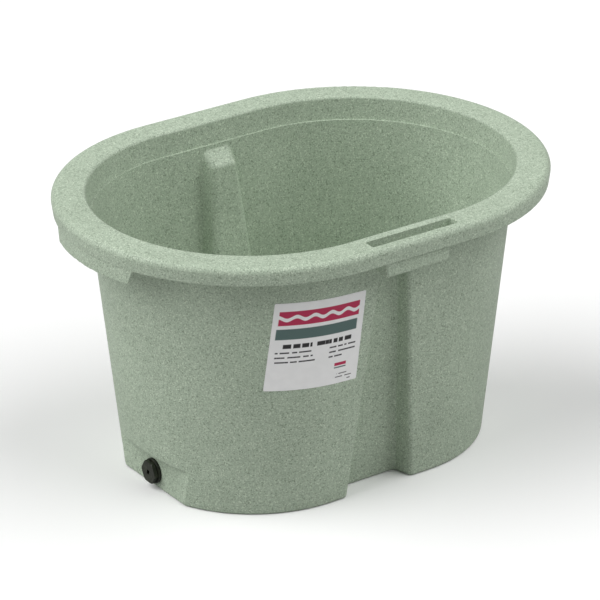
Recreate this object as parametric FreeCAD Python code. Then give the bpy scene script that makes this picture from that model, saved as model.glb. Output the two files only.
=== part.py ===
"""Oval rotomoulded livestock water trough with a screw-in drain plug.

Millimetres, +Z up. The origin is on the floor plane under the middle of the oval. The long axis
is X and the drain is in the -X end. The front, with the rim slot and the label, faces -Y.
"""
import FreeCAD, Part
import math
import os

V = FreeCAD.Vector
UP = V(0, 0, 1)
OUT = V(-1, 0, 0)            # out of the tank, through the drain

# ---- tank: an oval of two half circles joined by straight sides
half_straight = 129.0        # half length of the straight sides
height = 625.0
wall = 6.5                   # polyethylene thickness everywhere
base_radius = 280.5          # outside radius of the oval's ends on the ground
wall_taper = 0.105           # growth of that radius per millimetre of height
base_edge_radius = 6.0       # outside rounding where wall meets floor
floor_corner_radius = 5.0    # inside rounding where wall meets floor

# ---- rim: an inverted U, open below
rim_width = 73.5             # across the top, from the mouth to where top and skirt would meet
mouth_lean = 7.625           # how far the mouth's edge stands out past the ledge
skirt_drop = 39.5            # height of the folded-down outer edge
skirt_draft = 5.0            # how far the skirt leans in over its height
rim_outer_rounding = 13.0
rim_inner_rounding = 7.0
rim_fold_rounding = 5.0      # hidden inside corners of the fold
ledge_depth = 50.0           # from the rim's top to the small ledge inside the mouth
ledge_width = 5.0

# ---- end grips: stretches of deeper skirt at both ends
grip_drop = 33.0             # below the skirt's bottom edge
grip_half_width = 141.0      # at the skirt's bottom edge
grip_slant = 0.39            # narrowing of each side per millimetre down
grip_inset = 1.5             # of its outer face from the skirt's
grip_corner_radius = 10.0    # lower corners, seen from the end

# ---- side grooves: stiffening recesses in both long sides
groove_depth = 45.5              # at the ground
groove_floor_taper = 0.129
groove_half_width = 71.5         # of the groove's floor, at the ground
groove_narrowing = 0.086
groove_flare = 0.25              # widening of the groove per millimetre outwards
groove_shift = 4.0               # of the front groove towards -X, and of the back one towards +X
groove_top = 534.0               # where the groove's floor ends
groove_top_slope = 0.78          # rise of the closing facet per millimetre outwards
groove_corner_radius = 11.0      # inside corners, seen from outside the tank
groove_mouth_radius = 11.0       # rounding of the groove's mouth
rib_foot_radius = 6.0            # rounding where the rib leaves the inner wall

# ---- drain pad: a flat vertical recess in the -X end
pad_cut = 23.0               # how deep the pad cuts into the end, at the ground
pad_margin = 16.5            # from the drain's flange up to the top of the pad
pad_top_slope = 0.38
pad_half_width = 220.0       # wider than the stretch that it cuts out of the round end
pad_edge_radius = 10.0

# ---- rim slot: a stepped pocket in the front rim
slot_half_length = 107.0
slot_inset = 38.0            # of the slot's centre line from the mouth's edge
slot_width = 29.0
slot_depth = 30.0            # of the shallow ends
pocket_half_length = 75.5    # of the deep middle, at the skirt's bottom edge
pocket_narrowing = 0.15      # of each end per millimetre down
pocket_drop = 34.0           # of the block below the skirt's bottom edge
pocket_setback = 11.5        # of the block's outer face from the rim's outside
slot_draft = 0.06            # narrowing of each side wall per millimetre down
slot_corner_radius = 5.0
block_rounding = 6.0         # outside edges of the block under the rim

# ---- drain fitting, on an axis along X
drain_clearance = 1.0        # between the slip ring and the rounding of the tank's floor
pipe_major = 33.4            # 1 inch pipe thread of the plug
pipe_pitch = 25.4 / 11.5
neck_wall = 4.3              # from the plug's thread out to the neck's own thread
neck_pitch = 2.5
thread_depth = 1.2
thread_clearance = 0.3       # radial, between each pair of threads
neck_hole_clearance = 0.5    # radial, between neck and tank wall
flange_ledge = 7.0           # of the flange beyond the neck's thread
flange_thickness = 4.0
gasket_thickness = 2.0
slip_ring_thickness = 1.5
locknut_wall = 4.0           # from the neck's thread out to the nut's flats
locknut_thickness = 11.0
neck_past_locknut = 4.0
head_ledge = 6.3             # of the head's flats beyond the shank's thread
head_thickness = 8.5
head_turn = 2.0              # degrees that the tightened head stands past a level flat
head_chamfer = 1.2
key_recess = 9.6             # 3/8 inch square drive
key_depth = 6.0
plug_gasket_thickness = 1.6
plug_gasket_width = 5.0
shank_length = 20.0
shank_wall = 4.0

# ---- label on the front, left of the groove
label_thickness = 0.35
label_gap = 0.25             # adhesive
label_right = 81.5           # distance of the right edge's middle from the YZ plane
label_span = 203.0           # width seen from the front; the sheet wraps onto the round end
label_bottom = 297.5
label_tall = 206.0
label_tilt = 3.0             # degrees, clockwise seen from the front
label_corner_radius = 3.0

# ---- worked out from the above
neck_major = pipe_major + 2 * neck_wall
flange_diameter = neck_major + 2 * flange_ledge
locknut_across_flats = neck_major + 2 * locknut_wall
head_across_flats = pipe_major + 2 * head_ledge
drain_height = wall + floor_corner_radius + drain_clearance + locknut_across_flats / 2
pad_top = drain_height + flange_diameter / 2 + pad_margin
pad_distance = half_straight + base_radius - pad_cut
groove_floor_at_base = base_radius - groove_depth
skirt_bottom = height - skirt_drop
ledge_height = height - ledge_depth
inner_pad = pad_distance - wall
flange_back = pad_distance + gasket_thickness
flange_front = flange_back + flange_thickness
head_back = flange_front + plug_gasket_thickness
locknut_outer = inner_pad - slip_ring_thickness
locknut_inner = locknut_outer - locknut_thickness
neck_end = locknut_inner - neck_past_locknut


def outer_radius(z):
    return base_radius + wall_taper * z


def inner_radius(z):
    return outer_radius(z) - wall


ledge_radius = inner_radius(ledge_height)
rim_mouth_radius = ledge_radius + ledge_width + mouth_lean
rim_radius = rim_mouth_radius + rim_width
slot_distance = rim_mouth_radius + slot_inset
pocket_front = rim_radius - pocket_setback


# ------------------------------------------------------------------ general shapes

def rounded_face(corners):
    """Face in the XZ plane from (x, z, rounding) corners."""
    points = [V(x, 0, z) for x, z, _ in corners]
    count = len(points)
    edges = []
    ends = []
    for i, (_, _, rounding) in enumerate(corners):
        here, before, after = points[i], points[i - 1], points[(i + 1) % count]
        if rounding == 0:
            ends.append((here, here))
            continue
        to_before = (before - here).normalize()
        to_after = (after - here).normalize()
        half_angle = to_before.getAngle(to_after) / 2
        reach = rounding / math.tan(half_angle)
        bisector = (to_before + to_after).normalize()
        centre = here + bisector * (rounding / math.sin(half_angle))
        start = here + to_before * reach
        finish = here + to_after * reach
        middle = centre - bisector * rounding
        edges.append(Part.Arc(start, middle, finish).toShape())
        ends.append((start, finish))
    for i in range(count):
        edges.append(Part.makeLine(ends[i - 1][1], ends[i][0]))
    return Part.Face(Part.Wire(Part.__sortEdges__(edges)))


def oval(face):
    """The solid of a profile swept round the oval; its x is the distance from the oval's spine."""
    solid = None
    for side in (-1, 1):
        profile = face.copy()
        profile.rotate(V(0, 0, 0), UP, 90 * side)
        profile.translate(V(-side * half_straight, 0, 0))
        straight = profile.extrude(V(2 * side * half_straight, 0, 0))
        end = profile.revolve(V(-side * half_straight, 0, 0), UP, 180)
        for piece in (straight, end):
            solid = piece if solid is None else solid.fuse(piece)
    return solid.removeSplitter()


def hexahedron(corners):
    """Solid with flat faces: four bottom corners, anticlockwise from above, then the four above."""
    points = [V(*corner) for corner in corners]
    rings = [(3, 2, 1, 0), (4, 5, 6, 7)]
    for i in range(4):
        j = (i + 1) % 4
        rings.append((i, j, 4 + j, 4 + i))
    faces = []
    for ring in rings:
        outline = [points[i] for i in ring]
        faces.append(Part.Face(Part.makePolygon(outline + outline[:1])))
    return Part.makeSolid(Part.makeShell(faces))


def tapered_box(x_bottom, x_top, y_bottom, y_top, z_low, z_high):
    """Box with sloping sides; each x and y is a (low, high) pair."""
    corners = []
    for (x_low, x_high), (y_low, y_high), z in ((x_bottom, y_bottom, z_low), (x_top, y_top, z_high)):
        corners += [(x_low, y_low, z), (x_high, y_low, z), (x_high, y_high, z), (x_low, y_high, z)]
    return hexahedron(corners)


def edges_where(shape, test):
    """The edges whose middle point passes a test."""
    found = []
    for edge in shape.Edges:
        middle = edge.valueAt((edge.FirstParameter + edge.LastParameter) / 2)
        if test(middle, edge):
            found.append(edge)
    return found


def tube(inner, outer, start, finish):
    """Ring round the drain's axis, from one distance from the YZ plane to another."""
    centre = V(-start, 0, drain_height)
    ring = Part.makeCylinder(outer, finish - start, centre, OUT)
    if inner > 0:
        ring = ring.cut(Part.makeCylinder(inner, finish - start, centre, OUT))
    return ring


def hexagon(across_flats, start, finish, turn):
    """Hexagonal prism on the drain's axis; with no turn, two flats lie level."""
    radius = across_flats / math.sqrt(3)
    points = []
    for i in range(7):
        angle = math.radians(60 * i + turn)
        points.append(V(-start, radius * math.cos(angle), drain_height + radius * math.sin(angle)))
    return Part.Face(Part.makePolygon(points)).extrude(OUT * (finish - start))


def thread(major, pitch, start, finish, grow):
    """Right-handed threaded rod on the drain's axis; grow widens it into a cutter for a nut."""
    tip = major / 2 + grow
    root = major / 2 - thread_depth + grow
    sunk = 0.08                                   # how far the ridge is set into the rod
    half_crest = pitch * 0.09 + grow / 2
    half_foot = half_crest + (thread_depth + sunk) * math.tan(math.radians(30))
    length = finish - start
    low = -pitch / 2
    helix = Part.makeHelix(pitch, length + pitch, root)
    helix.translate(V(0, 0, low))
    ridge = [V(root - sunk, 0, low - half_foot), V(tip, 0, low - half_crest),
             V(tip, 0, low + half_crest), V(root - sunk, 0, low + half_foot)]
    section = Part.makePolygon(ridge + ridge[:1])
    sweep = Part.Wire(helix.Edges).makePipeShell([section], True, True)
    rod = Part.makeCylinder(root, length + 2 * pitch, V(0, 0, -pitch))
    rod = rod.fuse(sweep).common(Part.makeCylinder(tip + 1, length))
    rod.rotate(V(0, 0, 0), UP, 360 * start / pitch)    # threads of one pitch share one helix
    rod.rotate(V(0, 0, 0), V(0, 1, 0), -90)
    rod.translate(V(-start, 0, drain_height))
    return rod


# ------------------------------------------------------------------ tank

def groove_form(side, grow):
    """Wedge that a side groove takes out of the tank; grow thickens it to the rib inside."""
    floor_slope = math.hypot(1, groove_floor_taper)
    side_slope = math.sqrt(1 + groove_flare ** 2 + groove_narrowing ** 2)
    lid_slope = math.hypot(1, groove_top_slope)
    outside = rim_radius + 50
    low = -20.0

    def floor_at(z):
        return groove_floor_at_base + groove_floor_taper * z - grow * floor_slope

    def half_width(distance, z):
        flared = groove_flare * (distance - floor_at(z) - grow * floor_slope)
        return groove_half_width - groove_narrowing * z + flared + grow * side_slope

    plain_floor_at_top = groove_floor_at_base + groove_floor_taper * groove_top
    lid_base = groove_top + grow * lid_slope - groove_top_slope * plain_floor_at_top
    floor_end = (lid_base + groove_top_slope * floor_at(0)) / (1 - groove_top_slope * groove_floor_taper)
    lid_end = lid_base + groove_top_slope * outside
    corners = []
    for distance, z in ((floor_at(low), low), (outside, low), (floor_at(floor_end), floor_end),
                        (outside, lid_end)):
        corners.append((-half_width(distance, z) - groove_shift, -distance, z))
        corners.append((half_width(distance, z) - groove_shift, -distance, z))
    wedge = hexahedron([corners[i] for i in (1, 0, 2, 3, 5, 4, 6, 7)])

    def on_corner(middle, edge):
        on_mouth = middle.y < 1 - outside
        at_bottom = abs(middle.z - low) < 1
        return not on_mouth and not at_bottom

    wedge = wedge.makeFillet(groove_corner_radius + grow, edges_where(wedge, on_corner))
    wedge.rotate(V(0, 0, 0), UP, 90 + 90 * side)
    return wedge


def pad_form(grow):
    """Block that the drain pad takes out of the -X end."""
    outside = half_straight + rim_radius
    face = pad_distance - grow
    lid_slope = math.hypot(1, pad_top_slope)
    near = pad_top + grow * lid_slope - pad_top_slope * grow
    far = near + pad_top_slope * (outside - face)
    corners = []
    for top in (False, True):
        for x, z in ((-outside, far), (-face, near)):
            corners.append((x, -pad_half_width, z if top else -20.0))
            corners.append((x, pad_half_width, z if top else -20.0))
    return hexahedron([corners[i] for i in (0, 2, 3, 1, 4, 6, 7, 5)])


def tank_form(radius_at, bottom, top, grow, mouth_rounding):
    """Solid oval with the grooves and the drain pad taken out of it."""
    profile = [(0, bottom, 0), (radius_at(bottom), bottom, 0), (radius_at(top), top, 0), (0, top, 0)]
    form = oval(rounded_face(profile))
    for side in (-1, 1):
        form = form.cut(groove_form(side, grow))
    form = form.cut(pad_form(grow))

    def on_groove_mouth(middle, edge):
        off_wall = abs(abs(middle.y) - radius_at(middle.z))
        inside = bottom + 0.1 < middle.z < top - 0.1
        return off_wall < 0.01 and abs(middle.x) < half_straight - 1 and inside

    form = form.makeFillet(mouth_rounding, edges_where(form, on_groove_mouth))

    def on_pad_edge(middle, edge):
        off_wall = math.hypot(abs(middle.x) - half_straight, middle.y) - radius_at(middle.z)
        inside = bottom + 0.1 < middle.z < pad_top + 40
        return abs(off_wall) < 0.01 and middle.x < 1 - inner_pad and inside

    return form.makeFillet(pad_edge_radius, edges_where(form, on_pad_edge))


def tank_body():
    """Floor and walls, up to the ledge inside the rim's mouth."""
    outer = tank_form(outer_radius, 0, ledge_height, 0, groove_mouth_radius)
    inner = tank_form(inner_radius, wall, ledge_height + 1, wall, rib_foot_radius)

    def at_height(z):
        return lambda middle, edge: abs(middle.z - z) < 0.01

    outer = outer.makeFillet(base_edge_radius, edges_where(outer, at_height(0)))
    inner = inner.makeFillet(floor_corner_radius, edges_where(inner, at_height(wall)))
    return outer.cut(inner)


def rim_ring():
    """The rim's inverted U, with a root that reaches down into the middle of the wall."""
    root = ledge_height - 2.5 * wall
    skirt_radius = rim_radius - skirt_draft
    fold_height = height - wall
    edge = wall * 0.45
    profile = [
        (ledge_radius, ledge_height, 0),
        (ledge_radius + ledge_width, ledge_height, 0),
        (rim_mouth_radius, height, rim_inner_rounding),
        (rim_radius, height, rim_outer_rounding),
        (skirt_radius, skirt_bottom, edge),
        (skirt_radius - wall, skirt_bottom, edge),
        (rim_radius - wall, fold_height, rim_fold_rounding),
        (rim_mouth_radius + wall, fold_height, rim_fold_rounding),
        (ledge_radius + ledge_width + wall, ledge_height, 0),
        (outer_radius(ledge_height - wall) - 0.5, ledge_height - wall, 0),
        (outer_radius(root) - wall / 2, root, 0),
    ]
    return oval(rounded_face(profile))


def end_grips():
    """Deeper skirt at both ends of the tank."""
    face = rim_radius - skirt_draft - grip_inset
    bottom = skirt_bottom - grip_drop
    overlap = 2 * wall
    lean = skirt_draft / skirt_drop
    face_at_top = face + lean * overlap
    edge = wall * 0.45
    ring = oval(rounded_face([
        (face - wall, bottom, edge),
        (face, bottom, edge),
        (face, skirt_bottom, 0),
        (face_at_top, skirt_bottom + overlap, 0),
        (face_at_top + grip_inset - wall, skirt_bottom + overlap, 0),
        (face - wall, skirt_bottom, 0),
    ]))
    narrow = grip_half_width - grip_slant * (grip_drop + 1)
    wide = grip_half_width + grip_slant * (overlap + 1)
    far = half_straight + rim_radius + 1
    grips = []
    for side in (-1, 1):
        across = sorted((side * half_straight, side * far))
        window = tapered_box(across, across, (-narrow, narrow), (-wide, wide),
                             bottom, skirt_bottom + overlap + 1)
        corners = edges_where(window, lambda middle, edge: middle.z < bottom + 1 and abs(middle.y) > 1
                              and abs(edge.tangentAt(0).x) > 0.7)
        grips.append(ring.common(window.makeFillet(grip_corner_radius, corners)))
    return grips


def slot_forms():
    """Outside blocks and hollows of the stepped pocket in the front rim, as (blocks, hollows)."""
    slot_floor = height - slot_depth
    pocket_floor = skirt_bottom - pocket_drop + wall

    def span(z):
        half = slot_width / 2 - slot_draft * (height - z)
        return (-slot_distance - half, -slot_distance + half)

    def grown(pair):
        return (pair[0] - wall, pair[1] + wall)

    def both(half):
        return (-half, half)

    def pocket_half(z):
        return pocket_half_length + pocket_narrowing * (z - skirt_bottom)

    step_half = slot_half_length - slot_draft * slot_depth
    above = 5.0
    shallow = tapered_box(both(step_half), both(slot_half_length + slot_draft * above),
                          span(slot_floor), span(height + above), slot_floor, height + above)
    deep = tapered_box(both(pocket_half(pocket_floor)), both(pocket_half(slot_floor + 1)),
                       span(pocket_floor), span(slot_floor + 1), pocket_floor, slot_floor + 1)
    hollows = []
    for hollow in (shallow, deep):
        upright = edges_where(hollow, lambda middle, edge: abs(edge.tangentAt(0).z) > 0.7)
        hollows.append(hollow.makeFillet(slot_corner_radius, upright))
    top = height - wall / 2
    shelf = tapered_box(both(step_half + wall), both(slot_half_length + wall),
                        grown(span(slot_floor - wall)), grown(span(top)), slot_floor - wall, top)
    low = pocket_floor - wall
    front = (-pocket_front, span(low)[1] + wall)
    block = tapered_box(both(pocket_half(low) + wall), both(pocket_half(slot_floor) + wall),
                        front, (-pocket_front, span(slot_floor)[1] + wall), low, slot_floor)
    rounded = edges_where(block, lambda middle, edge: middle.z < slot_floor - 1 and
                          (middle.y < 1 - pocket_front or middle.z < low + 1))
    return [shelf, block.makeFillet(block_rounding, rounded)], hollows


def tank_shell():
    shell = tank_body().fuse(rim_ring())
    blocks, hollows = slot_forms()
    for piece in end_grips() + blocks:
        shell = shell.fuse(piece)
    for hollow in hollows:
        shell = shell.cut(hollow)
    hole = tube(0, neck_major / 2 + neck_hole_clearance, inner_pad - 5, pad_distance + 5)
    return shell.cut(hole).removeSplitter()


# ------------------------------------------------------------------ drain

def drain_body():
    """Fitting pushed through the wall from outside: flange, threaded neck, threaded bore."""
    neck = thread(neck_major, neck_pitch, neck_end, flange_back - 1, 0)
    plain = tube(0, neck_major / 2 - thread_depth, flange_back - 1, flange_back)
    flange = tube(0, flange_diameter / 2, flange_back, flange_front)
    rim = edges_where(flange, lambda middle, edge: edge.Length > 100 and middle.x < -flange_front + 0.1)
    body = neck.fuse(plain).fuse(flange.makeFillet(1.2, rim))
    bore = thread(pipe_major, pipe_pitch, neck_end - 1, flange_front + 1, thread_clearance)
    return body.cut(bore)


def body_gasket():
    """Rubber washer between the flange and the tank."""
    return tube(neck_major / 2 + 0.2, flange_diameter / 2 - 0.5, pad_distance, flange_back)


def slip_ring():
    """Plastic washer that lets the locknut turn against the inside of the tank."""
    return tube(neck_major / 2 + 0.4, locknut_across_flats / 2, locknut_outer, inner_pad)


def drain_locknut():
    nut = hexagon(locknut_across_flats, locknut_inner, locknut_outer, 0)
    across_corners = locknut_across_flats * 2 / math.sqrt(3)
    cone = Part.makeCone(across_corners / 2 - 1.5, across_corners / 2 + 7.5, 9,
                         V(-locknut_inner, 0, drain_height), OUT)
    rest = tube(0, across_corners, locknut_inner + 9, locknut_outer)
    nut = nut.common(cone.fuse(rest))
    return nut.cut(thread(neck_major, neck_pitch, locknut_inner - 1, locknut_outer + 1,
                          thread_clearance))


def plug_gasket():
    """Rubber washer under the plug's head; it stays on the shank."""
    inner = pipe_major / 2 + thread_clearance
    return tube(inner, inner + plug_gasket_width, flange_front, head_back)


def drain_plug():
    """Hexagonal head with a square drive recess, and a hollow threaded shank."""
    head_front = head_back + head_thickness
    head = hexagon(head_across_flats, head_back, head_front, head_turn)
    across_corners = head_across_flats * 2 / math.sqrt(3)
    dome = tube(0, across_corners / 2 - 0.4, head_back, head_front)
    ends = edges_where(dome, lambda middle, edge: middle.x < 0.1 - head_front and edge.Length > 50)
    head = head.common(dome.makeChamfer(head_chamfer, ends))
    shank_end = flange_front - shank_length
    shank = thread(pipe_major, pipe_pitch, shank_end, head_back, 0)
    plug = shank.fuse(head)
    hollow = tube(0, pipe_major / 2 - thread_depth - shank_wall, shank_end, flange_front - 2)
    half = key_recess / 2
    key = Part.makeBox(key_depth + 1, key_recess, key_recess,
                       V(-head_front - 1, -half, drain_height - half))
    key.rotate(V(0, 0, drain_height), V(1, 0, 0), head_turn)
    return plug.cut(hollow).cut(key)


# ------------------------------------------------------------------ label

def side_label():
    """Printed sheet that follows the wall from the straight side onto the round end."""
    def skin(offset):
        low, high = label_bottom - 60, label_bottom + label_tall + 60
        corners = [(0, low, 0), (outer_radius(low) + offset, low, 0),
                   (outer_radius(high) + offset, high, 0), (0, high, 0)]
        return oval(rounded_face(corners))

    left = -label_right - label_span
    top = label_bottom + label_tall
    corners = [(left, label_bottom), (-label_right, label_bottom), (-label_right, top), (left, top)]
    outline = rounded_face([(x, z, label_corner_radius) for x, z in corners])
    centre = V(left + label_span / 2, 0, label_bottom + label_tall / 2)
    outline.rotate(centre, V(0, 1, 0), label_tilt)
    sheet = skin(label_gap + label_thickness).cut(skin(label_gap))
    return sheet.common(outline.extrude(V(0, -rim_radius, 0)))


NODES = {
    "tank_shell": tank_shell,
    "drain_body": drain_body,
    "body_gasket": body_gasket,
    "slip_ring": slip_ring,
    "drain_locknut": drain_locknut,
    "plug_gasket": plug_gasket,
    "drain_plug": drain_plug,
    "side_label": side_label,
}

os.makedirs("parts", exist_ok=True)
for name, make in NODES.items():
    shape = make()
    shape.exportStep(f"parts/{name}.step")
    box = shape.BoundBox
    print(f"{name}: {len(shape.Solids)} solid, valid {shape.isValid()}, {shape.Volume / 1000:.1f} cm3, "
          f"x {box.XMin:.1f} {box.XMax:.1f} y {box.YMin:.1f} {box.YMax:.1f} z {box.ZMin:.1f} {box.ZMax:.1f}")
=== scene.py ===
"""Looks of a moulded polyethylene stock tank: speckled tank, black drain fitting and plug, printed label."""
import math

import bpy
from mathutils import Euler, Matrix, Vector


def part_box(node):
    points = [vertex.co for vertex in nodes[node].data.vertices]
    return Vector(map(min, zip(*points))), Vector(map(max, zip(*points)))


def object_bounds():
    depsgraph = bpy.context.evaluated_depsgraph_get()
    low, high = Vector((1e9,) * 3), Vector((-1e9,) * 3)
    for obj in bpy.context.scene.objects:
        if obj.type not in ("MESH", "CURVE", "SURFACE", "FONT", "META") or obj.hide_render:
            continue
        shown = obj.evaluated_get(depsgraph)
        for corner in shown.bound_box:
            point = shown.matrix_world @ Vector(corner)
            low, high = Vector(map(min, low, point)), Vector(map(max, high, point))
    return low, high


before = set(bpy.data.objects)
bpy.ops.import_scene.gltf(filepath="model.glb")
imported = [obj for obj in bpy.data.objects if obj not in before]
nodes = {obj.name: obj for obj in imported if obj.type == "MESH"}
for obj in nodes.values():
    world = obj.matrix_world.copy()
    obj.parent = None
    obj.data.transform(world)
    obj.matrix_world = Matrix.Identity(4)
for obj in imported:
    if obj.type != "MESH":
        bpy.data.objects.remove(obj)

cad_low, cad_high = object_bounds()

# ---- sizes and places, in metres, in the CAD's own frame
label_low, label_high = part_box("side_label")
label_tall = 0.206
label_tilt = math.radians(3.0)            # clockwise seen from the front

# ---- camera
camera_target = Vector((0.0135, 0.0325, cad_high.z / 2))
camera_azimuth = math.radians(-34.86)     # 0 looks along +Y
camera_elevation = math.radians(25.0)
camera_roll = -0.0065
camera_distance = 8.31
camera_lens = 232.9
sensor_width = 36.0

# ---- light: azimuth and elevation in degrees towards each lamp, its width in degrees, its strength
lamps = {
    "key_left": (-113, 45, 60, 0.75),
    "fill_front_right": (45, 50, 60, 0.55),
}
sky_strength = 0.20
floor_seen = 0.97                         # the floor's brightness as the camera sees it
floor_bounce = 0.50                       # and as it lights the tank
floor_reach = 60.0
floor_drop = 0.0005                       # below the tank's underside

# ---- shading
crease_angle = math.radians(30)           # sharper edges stay sharp
weld_gap = 1e-6
level_weight = 80

# ---- colours, linear
tank_green = (0.438, 0.530, 0.410)
tank_green_dark = (0.150, 0.192, 0.136)
tank_green_light = (0.76, 0.86, 0.70)
plastic_black = (0.0115, 0.0140, 0.0075)
rubber_black = (0.014, 0.014, 0.014)
nylon_white = (0.62, 0.60, 0.54)
paper_white = (0.94, 0.94, 0.935)
print_crimson = (0.50, 0.013, 0.078)
print_grey = (0.085, 0.150, 0.140)
print_black = (0.012, 0.012, 0.013)

# ---- label print, as shares of the label's width and height: left, right, bottom, top
crimson_band = (0.06, 0.93, 0.745, 0.905)
wave_span = (0.805, 0.845)
wave_height = 0.018
wave_turns = 34.0                         # radians over the label's width
grey_band = (0.05, 0.92, 0.585, 0.705)
heading = (0.13, 0.87, 0.482, 0.530)
small_crimson = (0.70, 0.84, 0.205, 0.240)
small_grey = (0.70, 0.84, 0.178, 0.192)
body_lines = {"first": 0.425, "pitch": 0.054, "tall": 0.016}
foot_lines = {"first": 0.104, "pitch": 0.036, "tall": 0.010}
left_column = ((0.065, 0.42), (0.065, 0.44), (0.065, 0.47))
right_column = ((0.62, 0.94), (0.62, 0.93), (0.62, 0.78))
foot_column = ((0.74, 0.86), (0.70, 0.92), (0.86, 0.91))
edge_softness = 0.004


# ------------------------------------------------------------------ materials

class Paint:
    """A principled material under construction. Each method adds nodes and returns an output socket."""

    def __init__(self, name, roughness, specular):
        self.material = bpy.data.materials.new(name)
        self.material.use_nodes = True
        self.tree = self.material.node_tree
        self.shader = self.tree.nodes["Principled BSDF"]
        self.shader.inputs["Roughness"].default_value = roughness
        self.shader.inputs["Specular IOR Level"].default_value = specular
        self.place = self.add("ShaderNodeTexCoord").outputs["Object"]

    def add(self, kind, inputs=None, **settings):
        made = self.tree.nodes.new(kind)
        for name, value in settings.items():
            setattr(made, name, value)
        for key, value in (inputs or {}).items():
            if isinstance(value, bpy.types.NodeSocket):
                self.tree.links.new(value, made.inputs[key])
            else:
                made.inputs[key].default_value = value
        return made

    def noise(self, size, detail=2.0, shift=0.0):
        """Noise whose blobs are about size metres across."""
        moved = self.add("ShaderNodeVectorMath", {0: self.place, 1: (shift, 2 * shift, 3 * shift)})
        return self.add("ShaderNodeTexNoise", {"Vector": moved.outputs[0], "Scale": 1 / size,
                                               "Detail": detail}).outputs["Fac"]

    def math(self, operation, *values):
        inputs = dict(enumerate(values))
        return self.add("ShaderNodeMath", inputs, operation=operation).outputs[0]

    def span(self, value, low, high, to_low=0.0, to_high=1.0):
        """Smooth step of value from low to high."""
        inputs = {"Value": value, "From Min": low, "From Max": high, "To Min": to_low, "To Max": to_high}
        return self.add("ShaderNodeMapRange", inputs, interpolation_type="SMOOTHSTEP").outputs["Result"]

    def blend(self, share, first, second):
        """Mix of two colours; a plain tuple is a linear colour."""
        colours = [c if isinstance(c, bpy.types.NodeSocket) else (*c, 1.0) for c in (first, second)]
        inputs = {0: share, 6: colours[0], 7: colours[1]}
        return self.add("ShaderNodeMix", inputs, data_type="RGBA").outputs[2]

    def bump(self, height, distance, normal=None):
        inputs = {"Height": height, "Distance": distance, "Strength": 1.0}
        if normal:
            inputs["Normal"] = normal
        return self.add("ShaderNodeBump", inputs).outputs["Normal"]

    def finish(self, **links):
        for name, socket in links.items():
            self.tree.links.new(socket, self.shader.inputs[name])
        return self.material


def tank_plastic():
    """Granite-look rotomoulded polyethylene: pale green, peppered with darker and lighter grains."""
    paint = Paint("tank_plastic", 0.5, 0.3)
    cloud = paint.noise(0.16, 3.0)
    mottle = paint.noise(0.011, 2.0, 3.1)
    dark_grain = paint.noise(0.0035, 2.0, 7.7)
    light_grain = paint.noise(0.0030, 2.0, 11.3)
    fine_grain = paint.noise(0.0016, 1.0, 17.9)
    share = paint.math("MULTIPLY", paint.span(dark_grain, 0.50, 0.66), 0.62)
    colour = paint.blend(share, tank_green, tank_green_dark)
    share = paint.math("MULTIPLY", paint.span(light_grain, 0.52, 0.68), 0.66)
    colour = paint.blend(share, colour, tank_green_light)
    share = paint.math("MULTIPLY", paint.span(fine_grain, 0.45, 0.70), 0.30)
    colour = paint.blend(share, colour, tank_green_dark)
    share = paint.math("MULTIPLY", paint.span(mottle, 0.35, 0.65), 0.10)
    colour = paint.blend(share, colour, tank_green_light)
    share = paint.math("MULTIPLY", paint.span(cloud, 0.35, 0.70), 0.10)
    colour = paint.blend(share, colour, tank_green_dark)
    rough = paint.span(paint.noise(0.02, 2.0, 5.0), 0.3, 0.7, 0.46, 0.60)
    peel = paint.bump(paint.noise(0.007, 2.0, 23.0), 0.00022)
    skin = paint.bump(fine_grain, 0.00010, peel)
    return paint.finish(**{"Base Color": colour, "Roughness": rough, "Normal": skin})


def black_plastic(name, roughness):
    """Glass-filled black plastic with a slightly dusty, greenish bloom."""
    paint = Paint(name, roughness, 0.5)
    bloom = paint.span(paint.noise(0.009, 3.0, 2.0), 0.35, 0.75)
    speck = paint.span(paint.noise(0.0008, 1.0, 9.0), 0.60, 0.75)
    colour = paint.blend(bloom, plastic_black, tuple(2.1 * c for c in plastic_black))
    share = paint.math("MULTIPLY", speck, 0.25)
    colour = paint.blend(share, colour, tuple(4.0 * c for c in plastic_black))
    rough = paint.span(paint.noise(0.004, 2.0, 4.0), 0.3, 0.7, roughness - 0.07, roughness + 0.10)
    grain = paint.bump(paint.noise(0.0009, 2.0, 6.0), 0.00005)
    return paint.finish(**{"Base Color": colour, "Roughness": rough, "Normal": grain})


def seal_rubber():
    """Dull black rubber with a chalky surface."""
    paint = Paint("seal_rubber", 0.8, 0.3)
    chalk = paint.span(paint.noise(0.003, 3.0, 1.0), 0.45, 0.8, 0.0, 0.35)
    colour = paint.blend(chalk, rubber_black, tuple(3.5 * c for c in rubber_black))
    rough = paint.span(chalk, 0.0, 0.35, 0.72, 0.9)
    grain = paint.bump(paint.noise(0.0007, 2.0, 3.0), 0.00004)
    return paint.finish(**{"Base Color": colour, "Roughness": rough, "Normal": grain})


def washer_plastic():
    """Natural, slightly yellowed nylon."""
    paint = Paint("washer_plastic", 0.45, 0.45)
    cloud = paint.span(paint.noise(0.006, 2.0, 1.0), 0.3, 0.7, 0.0, 0.5)
    colour = paint.blend(cloud, nylon_white, tuple(0.8 * c for c in nylon_white))
    grain = paint.bump(paint.noise(0.0008, 2.0, 3.0), 0.00003)
    return paint.finish(**{"Base Color": colour, "Normal": grain})


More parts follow.
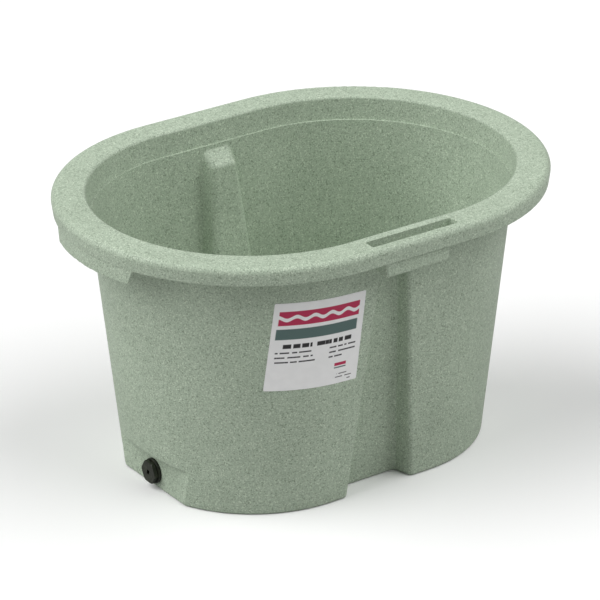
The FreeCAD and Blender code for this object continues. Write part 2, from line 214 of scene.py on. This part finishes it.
class Print:
    """Coordinates and masks on the label: across runs 0 to 1 rightwards, up runs 0 to 1."""

    def __init__(self, paint):
        self.paint = paint
        half = label_tall / 2
        shifted = paint.add("ShaderNodeVectorMath", {0: paint.place, 1: -(label_low + label_high) / 2})
        turned = paint.add("ShaderNodeMapping", {"Vector": shifted.outputs[0],
                                                 "Rotation": Euler((0, -label_tilt, 0))})
        axes = paint.add("ShaderNodeSeparateXYZ", {0: turned.outputs[0]})
        self.across = paint.span(axes.outputs["X"], -half, half)
        self.up = paint.span(axes.outputs["Z"], -half, half)
        for socket in (self.across, self.up):
            socket.node.interpolation_type = "LINEAR"

    def inside(self, value, low, high):
        paint = self.paint
        after = paint.span(value, low - edge_softness, low + edge_softness)
        before = paint.span(value, high - edge_softness, high + edge_softness, 1.0, 0.0)
        return paint.math("MULTIPLY", after, before)

    def bar(self, left, right, low, high):
        return self.paint.math("MULTIPLY", self.inside(self.across, left, right),
                               self.inside(self.up, low, high))

    def dashes(self, left, right, low, high, seed):
        """A bar broken into a few lengths, as a line of small print reads from afar."""
        paint = self.paint
        along = paint.add("ShaderNodeCombineXYZ", {0: self.across, 1: seed})
        broken = paint.add("ShaderNodeTexNoise", {"Vector": along.outputs[0], "Scale": 26.0, "Detail": 0.0})
        words = paint.span(broken.outputs["Fac"], 0.40, 0.44)
        return paint.math("MULTIPLY", self.bar(left, right, low, high), words)

    def column(self, spans, layout, seed):
        """Lines of small print under each other, from the top down."""
        rows = []
        for row, (left, right) in enumerate(spans):
            low = layout["first"] - layout["pitch"] * row
            rows.append(self.dashes(left, right, low, low + layout["tall"], seed + row))
        return rows


def label_film():
    """White vinyl with a crimson band that carries a white wave, a grey band and lines of small print."""
    paint = Paint("label_film", 0.38, 0.5)
    art = Print(paint)
    fleck = paint.span(paint.noise(0.02, 2.0, 1.0), 0.3, 0.7, 0.0, 0.04)
    colour = paint.blend(fleck, paper_white, print_grey)
    swing = paint.math("SINE", paint.math("MULTIPLY", art.across, wave_turns))
    wave_line = paint.math("MULTIPLY", swing, wave_height)
    wave = art.inside(paint.math("SUBTRACT", art.up, wave_line), *wave_span)
    band = paint.math("MULTIPLY", art.bar(*crimson_band), paint.math("SUBTRACT", 1.0, wave))
    colour = paint.blend(band, colour, print_crimson)
    colour = paint.blend(art.bar(*grey_band), colour, print_grey)
    lines = [art.dashes(*heading, 0.3)]
    lines += art.column(left_column, body_lines, 1.0)
    lines += art.column(right_column, body_lines, 5.0)
    lines += art.column(foot_column, foot_lines, 9.0)
    for line in lines:
        colour = paint.blend(line, colour, print_black)
    colour = paint.blend(art.bar(*small_crimson), colour, print_crimson)
    colour = paint.blend(art.bar(*small_grey), colour, print_grey)
    return paint.finish(**{"Base Color": colour})


finishes = {
    "tank_shell": tank_plastic(),
    "drain_body": black_plastic("fitting_plastic", 0.42),
    "drain_plug": black_plastic("plug_plastic", 0.38),
    "slip_ring": washer_plastic(),
    "body_gasket": seal_rubber(),
    "side_label": label_film(),
}
finishes["drain_locknut"] = finishes["drain_body"]
finishes["plug_gasket"] = finishes["body_gasket"]


# ------------------------------------------------------------------ CAD nodes

def smooth_shading():
    """Node group that shades smooth except along creases."""
    group = bpy.data.node_groups.new("smooth_but_sharp", "GeometryNodeTree")
    group.interface.new_socket("Geometry", in_out="INPUT", socket_type="NodeSocketGeometry")
    group.interface.new_socket("Geometry", in_out="OUTPUT", socket_type="NodeSocketGeometry")
    start = group.nodes.new("NodeGroupInput")
    end = group.nodes.new("NodeGroupOutput")
    smooth = group.nodes.new("GeometryNodeSetShadeSmooth")
    smooth.domain = "FACE"
    sharp = group.nodes.new("GeometryNodeSetShadeSmooth")
    sharp.domain = "EDGE"
    sharp.inputs["Shade Smooth"].default_value = False
    angle = group.nodes.new("GeometryNodeInputMeshEdgeAngle")
    steep = group.nodes.new("FunctionNodeCompare")
    steep.operation = "GREATER_THAN"
    steep.inputs["B"].default_value = crease_angle
    group.links.new(angle.outputs["Unsigned Angle"], steep.inputs["A"])
    group.links.new(steep.outputs["Result"], sharp.inputs["Selection"])
    group.links.new(start.outputs[0], smooth.inputs["Geometry"])
    group.links.new(smooth.outputs["Geometry"], sharp.inputs["Geometry"])
    group.links.new(sharp.outputs["Geometry"], end.inputs[0])
    return group


smoother = smooth_shading()
for name, node in nodes.items():
    node.data.materials.clear()
    node.data.materials.append(finishes[name])
    weld = node.modifiers.new("weld", "WELD")
    weld.merge_threshold = weld_gap
    node.modifiers.new("smooth", "NODES").node_group = smoother
    level = node.modifiers.new("level", "WEIGHTED_NORMAL")
    level.keep_sharp = True
    level.weight = level_weight


# ------------------------------------------------------------------ floor, light and camera

def towards(azimuth, elevation):
    """Unit vector from the tank; azimuth 0 is in front of it, at -Y, and it grows towards +X."""
    return Vector((math.sin(azimuth) * math.cos(elevation), -math.cos(azimuth) * math.cos(elevation),
                   math.sin(elevation)))


def plain_floor():
    """Pale floor that reaches past every view, with the tank's shadow on it."""
    mesh = bpy.data.meshes.new("floor")
    corners = [(x * floor_reach, y * floor_reach, 0) for x, y in ((-1, -1), (1, -1), (1, 1), (-1, 1))]
    mesh.from_pydata(corners, [], [(0, 1, 2, 3)])
    floor = bpy.data.objects.new("floor", mesh)
    bpy.context.scene.collection.objects.link(floor)
    floor.location.z = -floor_drop
    material = bpy.data.materials.new("floor")
    material.use_nodes = True
    tree = material.node_tree
    shader = tree.nodes["Principled BSDF"]
    shader.inputs["Roughness"].default_value = 0.9
    shader.inputs["Specular IOR Level"].default_value = 0.1
    path = tree.nodes.new("ShaderNodeLightPath")
    shade = tree.nodes.new("ShaderNodeMapRange")
    shade.inputs["To Min"].default_value = floor_bounce
    shade.inputs["To Max"].default_value = floor_seen
    tree.links.new(path.outputs["Is Camera Ray"], shade.inputs["Value"])
    tree.links.new(shade.outputs["Result"], shader.inputs["Base Color"])
    mesh.materials.append(material)


def soft_lamp(name, azimuth, elevation, width, strength):
    """Wide, far light, like a large softbox: a white matt face turned to it shows as bright as strength."""
    lamp = bpy.data.lights.new(name, "SUN")
    lamp.energy = math.pi * strength
    lamp.angle = math.radians(width)
    sun = bpy.data.objects.new(name, lamp)
    bpy.context.scene.collection.objects.link(sun)
    back = towards(math.radians(azimuth), math.radians(elevation))
    sun.rotation_euler = (-back).to_track_quat("-Z", "Y").to_euler()


def sky(strength):
    """Even grey light from all round that the camera sees as white."""
    world = bpy.data.worlds.new("studio")
    world.use_nodes = True
    tree = world.node_tree
    lit = tree.nodes["Background"]
    lit.inputs["Color"].default_value = (1.0, 1.0, 1.0, 1.0)
    lit.inputs["Strength"].default_value = strength
    seen = tree.nodes.new("ShaderNodeBackground")
    seen.inputs["Color"].default_value = (1.0, 1.0, 1.0, 1.0)
    seen.inputs["Strength"].default_value = 1.0
    path = tree.nodes.new("ShaderNodeLightPath")
    mixer = tree.nodes.new("ShaderNodeMixShader")
    tree.links.new(path.outputs["Is Camera Ray"], mixer.inputs[0])
    tree.links.new(lit.outputs[0], mixer.inputs[1])
    tree.links.new(seen.outputs[0], mixer.inputs[2])
    tree.links.new(mixer.outputs[0], tree.nodes["World Output"].inputs["Surface"])
    bpy.context.scene.world = world


def camera():
    data = bpy.data.cameras.new("camera")
    data.lens = camera_lens
    data.sensor_width = sensor_width
    data.clip_end = 200.0
    eye = bpy.data.objects.new("camera", data)
    bpy.context.scene.collection.objects.link(eye)
    back = towards(camera_azimuth, camera_elevation)
    eye.location = camera_target + camera_distance * back
    turn = (-back).to_track_quat("-Z", "Y").to_matrix() @ Matrix.Rotation(camera_roll, 3, "Z")
    eye.rotation_euler = turn.to_euler()
    bpy.context.scene.camera = eye


plain_floor()
for name, values in lamps.items():
    soft_lamp(name, *values)
sky(sky_strength)
camera()
bpy.context.scene.view_settings.view_transform = "Standard"
